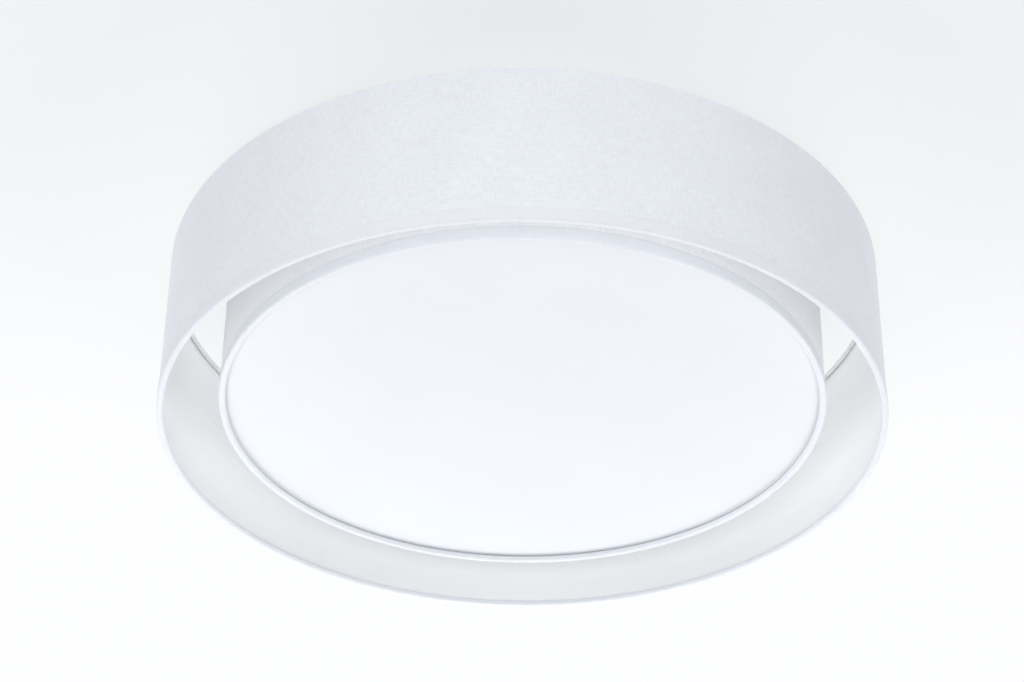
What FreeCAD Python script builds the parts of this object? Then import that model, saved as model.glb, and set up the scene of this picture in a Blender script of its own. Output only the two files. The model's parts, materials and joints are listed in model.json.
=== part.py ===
# A flush ceiling light with two concentric linen drums round three bulbs.
#
# Millimetres, +Z up. The origin is the middle of the mounting strap's upper face, in the plane
# of the ceiling, so the whole light hangs below z = 0. "Radial" pieces are built along +X, with
# x as the distance from the light's axis, and then turned about Z to their place.

import FreeCAD, Part
import math
import os

from FreeCAD import Matrix, Vector

# ---------------------------------------------------------------- driving dimensions
# Shades
outer_radius = 250.0        # outside of the outer drum's laminate
inner_radius = 209.0        # outside of the inner drum's laminate
outer_height = 119.0        # outer drum, top edge to lower rim
inner_rise = 16.0           # the inner drum's lower rim stands this far above the outer one's
ceiling_clearance = 1.5     # the drums' top edges stay this far below the ceiling
laminate = 0.8              # linen bonded to its liner
ring_wire = 3.2             # wire diameter of the four shade rings
spoke_wire = 4.0            # wire diameter of the spokes
spoke_count = 4
spoke_azimuth = 45.0        # where the first spoke lies
binding_wall = 0.4          # folded linen strip round each lower rim
binding_height = 9.3        # its height on the outside of the drum
binding_corner = 1.2        # rounding of its two lower corners
bond = 0.05                 # glue line between parts of a shade
fitter_wall = 1.5           # strip ring that slips over the pan
fitter_height = 12.5
fitter_clearance = 0.5      # radial room between the strip ring and the pan

# Diffuser
diffuser_thickness = 2.0
diffuser_edge = 0.4         # rounding of its edges
diffuser_edge_room = 0.8    # radial room between the disc and the inner drum
rest_gap = 0.1              # between two faces that only rest on each other

# Ceiling pan and mounting strap
pan_side_room = 25.0        # from the pan's rim to the outside of the inner drum
pan_depth = 14.0
pan_sheet = 1.0
pan_corner = 3.0            # outer radius where the pan's floor turns into its rim
strap_length = 160.0
strap_width = 25.0
strap_thickness = 1.6
strap_corner = 5.0          # rounding of its four corners
slot_spacing = 120.0        # between the middles of the two ceiling screw slots
slot_length = 14.0
slot_width = 4.5
stud_spacing = 72.0
stud_radius = 2.0
stud_fit = 0.05             # press fit line round a stud in the strap
hole_clearance = 0.3        # radial room of a screw or stud in a plain hole
nut_height = 3.2
nut_flats = 7.0
cap_nut_dome = 5.0          # height of a cap nut's dome
stud_end = 2.5              # how far a stud reaches into that dome

# Lampholders and bulbs
lamp_count = 3
lamp_azimuth = 90.0         # where the first bulb points
lamp_depth = 50.0           # the bulbs' axes lie this far below the ceiling
holder_back = 42.0          # radial place of the lampholder's back face
holder_length = 46.0
holder_radius = 19.0
holder_bore = 15.0
holder_floor = 10.0         # solid floor behind the socket
holder_bevel = 1.9
socket_room = 8.0           # from that floor to the bulb's tip
shell_lip = 1.0             # the socket's thread ends this far inside the mouth
contact_sheet = 0.6         # spring strip behind the bulb's tip
contact_foot = 10.5         # its foot ends this far below the bulb's axis
nipple_radius = 5.0
nipple_bore = 3.4
nipple_length = 8.0
nipple_nut_flats = 14.0
nipple_nut_height = 3.0
bracket_sheet = 1.5
bracket_width = 24.0
bracket_foot = 26.0
bracket_bend = 3.0          # outer radius of the bracket's bend
foot_screw_spacing = 12.0
screw_radius = 2.0
screw_head_radius = 4.0
screw_head_height = 2.6
screw_end = 1.0             # a screw stands this far out of its nut
drive_length = 6.0          # cross recess in a screw's head
drive_width = 1.0
drive_depth = 1.3
socket_shell_length = 24.0
socket_shell_wall = 0.35
thread_pitch = 3.629        # screw thread of the lampholders and bulbs
cap_crest = 13.1            # radius over the bulb cap's thread crests
cap_depth = 0.7             # depth of that thread
cap_room = 0.35             # radial room between the two threads' crests
cap_length = 27.0
cap_cone = 3.5              # height of the insulating cone behind the tip
bulb_length = 105.0
globe_radius = 30.0
globe_wall = 1.2
globe_join = 11.0           # the globe meets its housing this far behind the globe's middle
neck_step = 0.6             # the housing stands out this far round the cap
tip_radius = 4.5
tip_height = 2.0
contact_gap = 0.3           # between the bulb's tip and the socket's spring

# Thumb screws that hold the shades on the pan
thumb_count = 3
thumb_azimuth = 30.0
thumb_depth = 7.0           # their axes lie this far below the ceiling
thumb_radius = 2.0
thumb_head_radius = 6.0
thumb_head_length = 7.0
thumb_bevel = 1.0
thumb_reach = 6.5           # how far the shank runs inside the pan's rim
knurl_count = 18
knurl_depth = 0.5
thumb_washer_radius = 5.0
thumb_washer = 0.8

# Wiring
box_length = 42.0           # connection box under the pan, along X
box_width = 22.0
box_height = 16.0
box_wall = 1.5
lid_wall = 1.5
lid_lip = 2.0
strip_length = 30.0         # screw terminal strip inside the box
strip_width = 12.0
strip_height = 9.0
pole_pitch = 10.0
pole_bore = 1.7
terminal_screw_radius = 1.5
terminal_screw_height = 1.2
terminal_slot = 0.6
lead_radius = 2.4           # sleeved two-core lead to each lampholder
lead_room = 0.3             # radial room of a lead in a hole
lead_inset = 4.0            # how far a lead reaches into a lampholder's back
lead_pitch = 12.0
cable_hole_radius = 4.5     # bore of the grommet for the building's cable
cable_x = -22.0
cable_y = 24.0
grommet_wall = 2.0
grommet_flange = 2.5
grommet_lip = 1.2
earth_x = 30.0
earth_y = 26.0
earth_wire_radius = 1.2
lug_thickness = 0.8
lug_radius = 4.2
lug_barrel = 4.0            # length of its crimped barrel

# ---------------------------------------------------------------- derived places
ring_radius = ring_wire / 2
spoke_radius = spoke_wire / 2
shade_top = -ceiling_clearance
outer_rim = shade_top - outer_height
inner_rim = outer_rim + inner_rise
spoke_z = shade_top - spoke_radius
inner_ring_z = spoke_z - spoke_radius - ring_radius
inner_top = spoke_z - spoke_radius - 4 * bond
binding_rest = 2 * binding_wall + 2 * bond + ring_wire
diffuser_bottom = inner_rim + binding_rest + rest_gap
diffuser_radius = inner_radius - laminate - diffuser_edge_room

pan_floor = -pan_depth
pan_inside = pan_floor + pan_sheet
pan_radius = inner_radius - pan_side_room
fitter_inside = pan_radius + fitter_clearance
fitter_outside = fitter_inside + fitter_wall
lamp_z = -lamp_depth
bracket_face = holder_back - bracket_sheet
bulb_tip = holder_back + holder_floor + socket_room
globe_middle = bulb_tip + bulb_length - globe_radius
thumb_z = -thumb_depth
box_floor = pan_floor - box_height


# ---------------------------------------------------------------- helpers
def save(name, *solids):
    """Write one node; several solids make a group of separate pieces."""
    shape = solids[0] if len(solids) == 1 else Part.makeCompound(list(solids))
    os.makedirs("parts", exist_ok=True)
    shape.exportStep(f"parts/{name}.step")
    print(f"{name}: {len(shape.Solids)} solid(s), {shape.Volume:.1f} mm3, valid {shape.isValid()}")


def turned(shape, azimuth):
    """The shape turned about the light's axis."""
    copy = shape.copy()
    copy.rotate(Vector(0, 0, 0), Vector(0, 0, 1), azimuth)
    return copy


def azimuths(first, count):
    """Evenly spaced directions about the light's axis, in degrees."""
    return [first + 360.0 * i / count for i in range(count)]


def rod(radius, length, start, direction=Vector(1, 0, 0)):
    """A cylinder from a start point along a direction."""
    return Part.makeCylinder(radius, length, Vector(*start), direction)


def block(x, y, z):
    """A box from three (low, high) pairs."""
    return Part.makeBox(x[1] - x[0], y[1] - y[0], z[1] - z[0], Vector(x[0], y[0], z[0]))


def outline(points, place):
    """A closed wire through points; a point with a third value bulges to the next one.

    The third value is the arc's middle point as a pair.
    """
    edges = []
    for here, after in zip(points, points[1:] + points[:1]):
        start = place(here[0], here[1])
        end = place(after[0], after[1])
        if len(here) == 3:
            edges.append(Part.Arc(start, place(*here[2]), end).toShape())
        else:
            edges.append(Part.LineSegment(start, end).toShape())
    return Part.Wire(edges)


def about_z(points):
    """Turn an outline of (radius, z) about the light's axis."""
    face = Part.Face(outline(points, lambda r, z: Vector(r, 0, z)))
    return face.revolve(Vector(0, 0, 0), Vector(0, 0, 1), 360)


def about_x(points, z):
    """Turn an outline of (x, radius) about a radial axis at height z."""
    face = Part.Face(outline(points, lambda x, r: Vector(x, 0, z + r)))
    return face.revolve(Vector(0, 0, z), Vector(1, 0, 0), 360)


def corner(middle, radius, angle):
    """The point of a circle at an angle in degrees."""
    t = math.radians(angle)
    return (middle[0] + radius * math.cos(t), middle[1] + radius * math.sin(t))


def hexagon(flats, height, start, direction):
    """A hexagonal prism, flats wide, from a start point along a direction."""
    across = flats / math.sqrt(3)
    points = [Vector(across * math.cos(math.radians(60 * i)),
                     across * math.sin(math.radians(60 * i)), 0) for i in range(7)]
    prism = Part.Face(Part.makePolygon(points)).extrude(Vector(0, 0, height))
    prism.Placement = FreeCAD.Placement(Vector(*start), FreeCAD.Rotation(Vector(0, 0, 1), direction))
    return prism


def tube_along(points, radius):
    """A round wire or lead along straight runs joined by tangent arcs.

    Each arc is as large as its two runs allow: 0.45 of the shorter run over the tangent of half
    the turn.
    """
    stops = [Vector(*p) for p in points]
    edges = []
    last = stops[0]
    length = 0.0
    for before, here, after in zip(stops, stops[1:], stops[2:]):
        into = (here - before)
        out = (after - here)
        reach = 0.45 * min(into.Length, out.Length)
        turn = into.getAngle(out)
        into.normalize()
        out.normalize()
        start = here - into * reach
        end = here + out * reach
        bend = reach / math.tan(turn / 2)
        inward = out - into
        inward.normalize()
        middle = here + inward * (bend / math.cos(turn / 2) - bend)
        edges.append(Part.LineSegment(last, start).toShape())
        edges.append(Part.Arc(start, middle, end).toShape())
        length += (start - last).Length + bend * turn
        last = end
        print(f"  bend radius {bend:.1f} mm")
    edges.append(Part.LineSegment(last, stops[-1]).toShape())
    length += (stops[-1] - last).Length
    path = Part.Wire(edges)
    first = (stops[1] - stops[0]).normalize()
    section = Part.Wire([Part.makeCircle(radius, stops[0], first)])
    tube = path.makePipeShell([section], True, False)
    print(f"  tube volume {tube.Volume:.1f} of {math.pi * radius ** 2 * length:.1f}, length {length:.0f} mm")
    return tube


# ---------------------------------------------------------------- shades
def drum(radius, rim, top):
    """A drum's laminate, from just above its rounded rim to its top edge."""
    low = rim + binding_corner + bond
    return about_z([(radius, low), (radius, top), (radius - laminate, top), (radius - laminate, low)])


def ring(radius, z):
    """A wire ring glued inside a drum."""
    middle = radius - laminate - bond - ring_radius
    return Part.makeTorus(middle, ring_radius, Vector(0, 0, z))


def lower_ring_z(rim):
    """Height of the wire ring in a drum's lower rim."""
    return rim + binding_wall + bond + ring_radius


def binding(radius, rim):
    """The folded linen strip: up the outside, round the rim and over the wire ring inside."""
    outside = radius + binding_wall
    inside = radius - laminate - 2 * bond - ring_wire - binding_wall
    wall_side = radius - laminate - bond
    low = rim + binding_corner
    shelf = rim + binding_rest
    tight = binding_corner - binding_wall
    outer_middle = (outside - binding_corner, low)
    inner_middle = (inside + binding_corner, low)
    return about_z([
        (outside, rim + binding_height),
        (outside, low, corner(outer_middle, binding_corner, -45)),
        (outside - binding_corner, rim),
        (inside + binding_corner, rim, corner(inner_middle, binding_corner, -135)),
        (inside, low),
        (inside, shelf),
        (wall_side, shelf),
        (wall_side, shelf - binding_wall),
        (inside + binding_wall, shelf - binding_wall),
        (inside + binding_wall, low, corner(inner_middle, tight, -135)),
        (inside + binding_corner, rim + binding_wall),
        (outside - binding_corner, rim + binding_wall, corner(outer_middle, tight, -45)),
        (radius, low),
        (radius, rim + binding_height),
    ])


def spokes():
    """Wires from the strip ring, over the inner drum's ring, to the outer drum's ring."""
    end = outer_radius - laminate - bond - ring_wire
    wire = rod(spoke_radius, end - fitter_outside, (fitter_outside, 0, spoke_z))
    return [turned(wire, a) for a in azimuths(spoke_azimuth, spoke_count)]


def fitter_ring():
    """The strip ring round the pan, with a slot open at the top for each thumb screw."""
    low = shade_top - fitter_height
    strip = about_z([(fitter_inside, low), (fitter_outside, low),
                     (fitter_outside, shade_top), (fitter_inside, shade_top)])
    half = thumb_radius + hole_clearance
    start = fitter_inside - fitter_wall
    depth = 3 * fitter_wall
    slot = block((start, start + depth), (-half, half), (thumb_z, 0))
    slot = slot.fuse(rod(half, depth, (start, 0, thumb_z)))
    for a in azimuths(thumb_azimuth, thumb_count):
        strip = strip.cut(turned(slot, a))
    return strip


def diffuser():
    """The opal disc that rests on the inner drum's lower ring, with its edge rounded."""
    disc = Part.makeCylinder(diffuser_radius, diffuser_thickness, Vector(0, 0, diffuser_bottom))
    return disc.makeFillet(diffuser_edge, [e for e in disc.Edges if e.Closed])


# ---------------------------------------------------------------- pan and strap
def ceiling_pan():
    """A shallow steel dish, open to the ceiling, with every hole that its pieces need."""
    r = pan_radius
    s = pan_sheet
    c = pan_corner
    middle = (r - c, pan_floor + c)
    dish = about_z([
        (0, pan_floor),
        (r - c, pan_floor, corner(middle, c, -45)),
        (r, pan_floor + c),
        (r, 0),
        (r - s, 0),
        (r - s, pan_floor + c, corner(middle, c - s, -45)),
        (r - c, pan_inside),
        (0, pan_inside),
    ])
    down = Vector(0, 0, 1)
    low = pan_floor - s
    holes = [rod(stud_radius + hole_clearance, 3 * s, (x, 0, low), down)
             for x in (-stud_spacing / 2, stud_spacing / 2)]
    holes.append(rod(cable_hole_radius + grommet_wall, 3 * s, (cable_x, cable_y, low), down))
    holes.append(rod(screw_radius + hole_clearance, 3 * s, (earth_x, earth_y, low), down))
    for a in azimuths(lamp_azimuth, lamp_count):
        for x in foot_screw_places():
            holes.append(turned(rod(screw_radius + hole_clearance, 3 * s, (x, 0, low), down), a))
    for a in azimuths(thumb_azimuth, thumb_count):
        holes.append(turned(rod(thumb_radius + hole_clearance, 3 * s, (r - 2 * s, 0, thumb_z)), a))
    return dish.cut(Part.makeCompound(holes))


def mounting_strap():
    """The flat bar against the ceiling: two slots for ceiling screws, two holes for its studs."""
    half = strap_length / 2
    bar = block((-half, half), (-strap_width / 2, strap_width / 2), (-strap_thickness, 0))
    edges = [e for e in bar.Edges if abs(e.tangentAt(0).z) > 0.9]
    bar = bar.makeFillet(strap_corner, edges)
    run = (slot_length - slot_width) / 2
    low = -2 * strap_thickness
    tall = 3 * strap_thickness
    up = Vector(0, 0, 1)
    for x in (-slot_spacing / 2, slot_spacing / 2):
        slot = block((x - run, x + run), (-slot_width / 2, slot_width / 2), (low, low + tall))
        for end in (x - run, x + run):
            slot = slot.fuse(rod(slot_width / 2, tall, (end, 0, low), up))
        bar = bar.cut(slot)
    for x in (-stud_spacing / 2, stud_spacing / 2):
        bar = bar.cut(rod(stud_radius + stud_fit, tall, (x, 0, low), up))
    return bar


def strap_studs():
    """Studs pressed into the strap, flush with the ceiling, that carry the pan."""
    length = pan_depth + nut_height + stud_end
    return [rod(stud_radius, length, (x, 0, -length), Vector(0, 0, 1))
            for x in (-stud_spacing / 2, stud_spacing / 2)]


def cap_nuts():
    """Domed nuts under the pan, one on each stud."""
    nuts = []
    top = pan_floor
    low = top - nut_height
    bore = stud_radius + stud_fit
    depth = nut_height + stud_end + stud_fit
    dome_radius = nut_flats / 2
    for x in (-stud_spacing / 2, stud_spacing / 2):
        nut = hexagon(nut_flats, nut_height, (x, 0, low), Vector(0, 0, 1))
        dome = Part.makeSphere(dome_radius, Vector(0, 0, 0))
        stretch = Matrix()
        stretch.scale(1, 1, cap_nut_dome / dome_radius)
        dome = dome.transformGeometry(stretch)
        dome.translate(Vector(x, 0, low))
        dome = dome.common(block((x - nut_flats, x + nut_flats), (-nut_flats, nut_flats),
                                 (low - 2 * cap_nut_dome, low)))
        nut = nut.fuse(dome).removeSplitter()
        nuts.append(nut.cut(rod(bore, depth, (x, 0, top - depth), Vector(0, 0, 1))))
    return nuts


def rim_nuts():
    """Square nuts behind the pan's rim that the thumb screws turn in."""
    face = math.sqrt((pan_radius - pan_sheet) ** 2 - (nut_flats / 2) ** 2) - bond
    half = nut_flats / 2
    nut = block((face - nut_height, face), (-half, half), (thumb_z - half, thumb_z + half))
    nut = nut.cut(rod(thumb_radius + stud_fit, nut_height * 3, (face - 2 * nut_height, 0, thumb_z)))
    return [turned(nut, a) for a in azimuths(thumb_azimuth, thumb_count)]


def thumb_screw():
    """A knurled screw along +X: its shank runs through the slot, the pan's rim and the nut."""
    washer_start = fitter_outside + rest_gap
    head = washer_start + thumb_washer + rest_gap
    start = pan_radius - thumb_reach
    steps = 2 * knurl_count
    points = []
    for i in range(steps + 1):
        r = thumb_head_radius - (knurl_depth if i % 2 else 0)
        t = 2 * math.pi * i / steps
        points.append(Vector(head, r * math.cos(t), thumb_z + r * math.sin(t)))
    knob = Part.Face(Part.makePolygon(points)).extrude(Vector(thumb_head_length, 0, 0))
    bevel = thumb_bevel
    dome = about_x([(head, 0), (head, thumb_head_radius - bevel), (head + bevel, thumb_head_radius),
                    (head + thumb_head_length - bevel, thumb_head_radius),
                    (head + thumb_head_length, thumb_head_radius - bevel),
                    (head + thumb_head_length, 0)], thumb_z)
    shank = rod(thumb_radius, head - start + bevel, (start, 0, thumb_z))
    return knob.common(dome).fuse(shank).removeSplitter()


def thumb_washer_ring():
    """The loose washer between a thumb screw's head and the strip ring."""
    start = fitter_outside + rest_gap
    ring_solid = rod(thumb_washer_radius, thumb_washer, (start, 0, thumb_z))
    return ring_solid.cut(rod(thumb_radius + hole_clearance, 3 * thumb_washer,
                              (start - thumb_washer, 0, thumb_z)))


# ---------------------------------------------------------------- lampholders
def foot_screw_places():
    """Radial places of the two screws in a bracket's foot."""
    middle = (bracket_face + bracket_bend + holder_back + bracket_foot) / 2
    return (middle - foot_screw_spacing / 2, middle + foot_screw_spacing / 2)


def bracket():
    """A bent steel strip: its foot under the pan, its leg behind the lampholder."""
    s = bracket_sheet
    c = bracket_bend
    top = pan_floor
    low = lamp_z
    start = bracket_face
    middle = (start + c, top - c)
    profile = [
        (start, low),
        (start, top - c, corner(middle, c, 135)),
        (start + c, top),
        (holder_back + bracket_foot, top),
        (holder_back + bracket_foot, top - s),
        (start + c, top - s, corner(middle, c - s, 135)),
        (start + s, top - c),
        (start + s, low),
    ]
    half = bracket_width / 2
    face = Part.Face(outline(profile, lambda x, z: Vector(x, -half, z)))
    strip = face.extrude(Vector(0, bracket_width, 0))
    strip = strip.fuse(rod(half, s, (start, 0, low))).removeSplitter()
    strip = strip.cut(rod(nipple_radius + hole_clearance, 3 * s, (start - s, 0, low)))
    for x in foot_screw_places():
        strip = strip.cut(rod(screw_radius + hole_clearance, 3 * s, (x, 0, top - 2 * s),
                              Vector(0, 0, 1)))
    return strip


def lampholder():
    """The moulded holder with its hollow threaded nipple through the bracket."""
    mouth = holder_back + holder_length
    socket = holder_back + holder_floor
    start = holder_back - nipple_length
    bevel = holder_bevel
    return about_x([
        (start, nipple_bore),
        (start, nipple_radius),
        (holder_back, nipple_radius),
        (holder_back, holder_radius - bevel),
        (holder_back + bevel, holder_radius),
        (mouth - bevel, holder_radius),
        (mouth, holder_radius - bevel),
        (mouth, holder_bore),
        (socket, holder_bore),
        (socket, nipple_bore),
    ], lamp_z)


def thread_line(start, crest, depth, turns):
    """Rounded thread ridges as an outline: valleys and crests, half a pitch apart."""
    line = []
    for i in range(2 * turns + 1):
        x = start + i * thread_pitch / 2
        line.append((x, crest - depth if i % 2 == 0 else crest))
    return line


def socket_shell():
    """The pressed metal thread inside a lampholder, its ridges outside the bulb's."""
    turns = int(socket_shell_length // thread_pitch)
    inside = cap_crest + cap_room
    start = holder_back + holder_length - shell_lip - turns * thread_pitch
    ridge = min(cap_depth, (holder_bore - inside - socket_shell_wall) / 2)
    inner = thread_line(start, inside + ridge, ridge, turns)
    outer = [(x, r + socket_shell_wall) for x, r in reversed(inner)]
    return about_x(inner + outer, lamp_z)


def socket_contact():
    """The sprung tongue on the socket's floor that meets the bulb's tip."""
    floor = holder_back + holder_floor
    s = contact_sheet
    tip = bulb_tip - contact_gap
    low = lamp_z - contact_foot
    bend = lamp_z - nipple_bore - 2 * s
    points = [
        (floor, low), (floor, bend), (floor + s, bend), (tip - s, lamp_z + s),
        (tip - s, lamp_z + tip_radius / 2), (tip, lamp_z + tip_radius / 2), (tip, lamp_z),
        (floor + 2 * s, bend - s), (floor + s, bend - s), (floor + s, low),
    ]
    face = Part.Face(outline(points, lambda x, z: Vector(x, -nipple_bore, z)))
    return face.extrude(Vector(0, 2 * nipple_bore, 0))


def nipple_nut():
    """The hexagonal nut that clamps a lampholder to its bracket."""
    start = bracket_face - nipple_nut_height
    nut = hexagon(nipple_nut_flats, nipple_nut_height, (start, 0, lamp_z), Vector(1, 0, 0))
    return nut.cut(rod(nipple_radius + stud_fit, 3 * nipple_nut_height,
                       (start - nipple_nut_height, 0, lamp_z)))


def foot_screws():
    """Pan head screws up through a bracket's foot and the pan."""
    under = pan_floor - bracket_sheet
    length = bracket_sheet + pan_sheet + nut_height + screw_end
    up = Vector(0, 0, 1)
    screws = []
    for x in foot_screw_places():
        head = rod(screw_head_radius, screw_head_height, (x, 0, under - screw_head_height), up)
        low = [e for e in head.Edges if e.Closed and e.CenterOfMass.z < under - screw_head_height / 2]
        head = head.makeFillet(screw_head_height / 2, low)
        face = under - screw_head_height
        drive = block((x - drive_length / 2, x + drive_length / 2), (-drive_width / 2, drive_width / 2),
                      (face - drive_depth, face + drive_depth))
        cross = drive.copy()
        cross.rotate(Vector(x, 0, 0), up, 90)
        head = head.cut(drive.fuse(cross))
        screws.append(head.fuse(rod(screw_radius, length, (x, 0, under), up)).removeSplitter())
    return screws


def foot_nuts():
    """Hexagonal nuts on those screws, inside the pan."""
    up = Vector(0, 0, 1)
    nuts = []
    for x in foot_screw_places():
        nut = hexagon(nut_flats, nut_height, (x, 0, pan_inside), up)
        nuts.append(nut.cut(rod(screw_radius + stud_fit, 3 * nut_height, (x, 0, pan_floor), up)))
    return nuts


# ---------------------------------------------------------------- bulbs
def bulb_tip_contact():
    """The metal button at the end of a bulb's cap."""
    x = bulb_tip
    edge = tip_height / 2
    return about_x([(x, 0), (x, tip_radius - edge), (x + edge, tip_radius),
                    (x + tip_height, tip_radius), (x + tip_height, 0)], lamp_z)


def bulb_cap():
    """The cap: an insulating cone, then the metal thread."""
    x = bulb_tip + tip_height
    cone = x + cap_cone
    end = bulb_tip + cap_length
    turns = int((end - cone) // thread_pitch)
    thread = thread_line(cone, cap_crest, cap_depth, turns)
    return about_x([(x, 0), (x, tip_radius)] + thread + [(end, cap_crest), (end, 0)], lamp_z)


def globe_join_place():
    """Where the globe meets the housing: its place along the bulb and its radius."""
    return globe_middle - globe_join, math.sqrt(globe_radius ** 2 - globe_join ** 2)


def bulb_housing():
    """The bulb's opaque body, flaring from the cap to the globe."""
    start = bulb_tip + cap_length
    end, wide = globe_join_place()
    neck = cap_crest + neck_step
    third = (end - start) / 3
    return about_x([(start, 0), (start, neck), (start + third / 2, neck + third / 4,
                                                (start + 1.6 * third, neck + 0.42 * (wide - neck))),
                    (end, wide), (end, 0)], lamp_z)


def bulb_globe():
    """The opal dome, a thin shell closed by the housing."""
    x, wide = globe_join_place()
    inner = globe_radius - globe_wall
    narrow = math.sqrt(inner ** 2 - globe_join ** 2)
    middle = (globe_middle, 0)
    start = math.degrees(math.atan2(wide, -globe_join))
    inner_start = math.degrees(math.atan2(narrow, -globe_join))
    return about_x([(x, wide, corner(middle, globe_radius, start / 2)),
                    (globe_middle + globe_radius, 0), (globe_middle + inner, 0,
                                                       corner(middle, inner, inner_start / 2)),
                    (x, narrow)], lamp_z)


# ---------------------------------------------------------------- wiring
def connection_box():
    """A moulded box under the pan, open below, with holes for the cable and the leads."""
    half_x = box_length / 2
    half_y = box_width / 2
    outside = block((-half_x, half_x), (-half_y, half_y), (box_floor, pan_floor))
    outside = outside.makeFillet(box_wall, [e for e in outside.Edges if abs(e.tangentAt(0).z) > 0.9])
    inside = block((box_wall - half_x, half_x - box_wall), (box_wall - half_y, half_y - box_wall),
                   (box_floor - box_wall, pan_floor - box_wall))
    shell = outside.cut(inside)
    across = Vector(0, 1, 0)
    hole = lead_radius + lead_room
    for x in lead_places():
        shell = shell.cut(rod(hole, 3 * box_wall, (x, -half_y - box_wall, lead_z()), across))
    back = half_y - 2 * box_wall
    shell = shell.cut(rod(cable_hole_radius, 3 * box_wall, (-pole_pitch, back, lead_z()), across))
    return shell.cut(rod(earth_wire_radius + lead_room, 3 * box_wall, (pole_pitch, back, pole_z()),
                         across))


def lead_places():
    """Where the leads leave the box, along X."""
    return [lead_pitch * (i - (lamp_count - 1) / 2) for i in range(lamp_count)]


def lead_z():
    """Height of the leads and of the cable at the box."""
    return pan_floor - box_height / 2


def connection_lid():
    """The box's snap-on lid, with a lip inside the walls."""
    half_x = box_length / 2
    half_y = box_width / 2
    plate = block((-half_x, half_x), (-half_y, half_y), (box_floor - lid_wall, box_floor))
    plate = plate.makeFillet(box_wall, [e for e in plate.Edges if abs(e.tangentAt(0).z) > 0.9])
    room = box_wall + bond
    lip = block((room - half_x, half_x - room), (room - half_y, half_y - room),
                (box_floor, box_floor + lid_lip))
    room = room + lid_wall
    lip = lip.cut(block((room - half_x, half_x - room), (room - half_y, half_y - room),
                        (box_floor - lid_lip, box_floor + 2 * lid_lip)))
    return plate.fuse(lip)


def terminal_strip():
    """A three-pole screw terminal strip under the box's roof."""
    top = pan_floor - box_wall - bond
    half = strip_length / 2
    body = block((-half, half), (-strip_width / 2, strip_width / 2), (top - strip_height, top))
    across = Vector(0, 1, 0)
    for x in pole_places():
        body = body.cut(rod(pole_bore, 2 * strip_width, (x, -strip_width, pole_z()), across))
    return body


def pole_z():
    """Height of the strip's poles."""
    return pan_floor - box_wall - bond - strip_height / 2


def pole_places():
    """Where the strip's poles lie, along X."""
    return (-pole_pitch, 0.0, pole_pitch)


def terminal_screws():
    """Two slotted screws under each pole."""
    low = pan_floor - box_wall - bond - strip_height - terminal_screw_height
    screws = []
    for x in pole_places():
        for y in (-strip_width / 4, strip_width / 4):
            head = rod(terminal_screw_radius, terminal_screw_height, (x, y, low), Vector(0, 0, 1))
            slot = block((x - 2 * terminal_screw_radius, x + 2 * terminal_screw_radius),
                         (y - terminal_slot / 2, y + terminal_slot / 2),
                         (low - terminal_screw_height, low + terminal_screw_height / 2))
            screws.append(head.cut(slot))
    return screws


def grommet():
    """A soft ring in the pan's cable hole, wider above and below the sheet."""
    bore = cable_hole_radius
    hole = bore + grommet_wall - stud_fit
    flange = bore + grommet_wall + grommet_flange
    soft = about_z([
        (bore, pan_floor - grommet_lip), (flange, pan_floor - grommet_lip),
        (flange, pan_floor), (hole, pan_floor), (hole, pan_inside), (flange, pan_inside),
        (flange, pan_inside + grommet_lip), (bore, pan_inside + grommet_lip),
    ])
    soft.translate(Vector(cable_x, cable_y, 0))
    return soft


def earth_lug():
    """The ring terminal under the pan and its crimped barrel."""
    top = pan_floor
    up = Vector(0, 0, 1)
    plate = rod(lug_radius, lug_thickness, (earth_x, earth_y, top - lug_thickness), up)
    barrel_radius = earth_wire_radius + lug_thickness
    z = top - barrel_radius
    start = lug_start()
    barrel = rod(barrel_radius, lug_barrel, (start, earth_y, z))
    barrel = barrel.cut(rod(earth_wire_radius + stud_fit, lug_barrel,
                            (start - lug_thickness, earth_y, z)))
    neck = block((start + lug_barrel / 2, earth_x - lug_radius / 2),
                 (earth_y - barrel_radius, earth_y + barrel_radius), (top - lug_thickness, top))
    lug = plate.fuse(neck).fuse(barrel)
    return lug.cut(rod(screw_radius + hole_clearance, 3 * lug_thickness,
                       (earth_x, earth_y, top - 2 * lug_thickness), up))


def lug_start():
    """Where the earth terminal's barrel begins, along X."""
    return earth_x - lug_radius - lug_barrel


def earth_screw():
    """The screw and nut that press the earth terminal onto the pan."""
    up = Vector(0, 0, 1)
    under = pan_floor - lug_thickness
    head = rod(screw_head_radius, screw_head_height, (earth_x, earth_y, under - screw_head_height), up)
    length = lug_thickness + pan_sheet + nut_height + screw_end
    shank = rod(screw_radius, length, (earth_x, earth_y, under), up)
    nut = hexagon(nut_flats, nut_height, (earth_x, earth_y, pan_inside), up)
    nut = nut.cut(rod(screw_radius + stud_fit, 3 * nut_height, (earth_x, earth_y, pan_floor), up))
    return head.fuse(shank).removeSplitter(), nut


def earth_wire():
    """From the terminal inside the box, through its wall, to the earth terminal."""
    barrel_z = pan_floor - earth_wire_radius - lug_thickness
    end = lug_start() + lug_barrel / 2
    start_y = strip_width / 2 + rest_gap
    return tube_along([
        (pole_pitch, start_y, pole_z()),
        (pole_pitch, (start_y + earth_y) / 2 + 2 * earth_wire_radius, pole_z()),
        ((pole_pitch + end) / 2 - earth_wire_radius, earth_y, barrel_z),
        (end, earth_y, barrel_z),
    ], earth_wire_radius)


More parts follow.
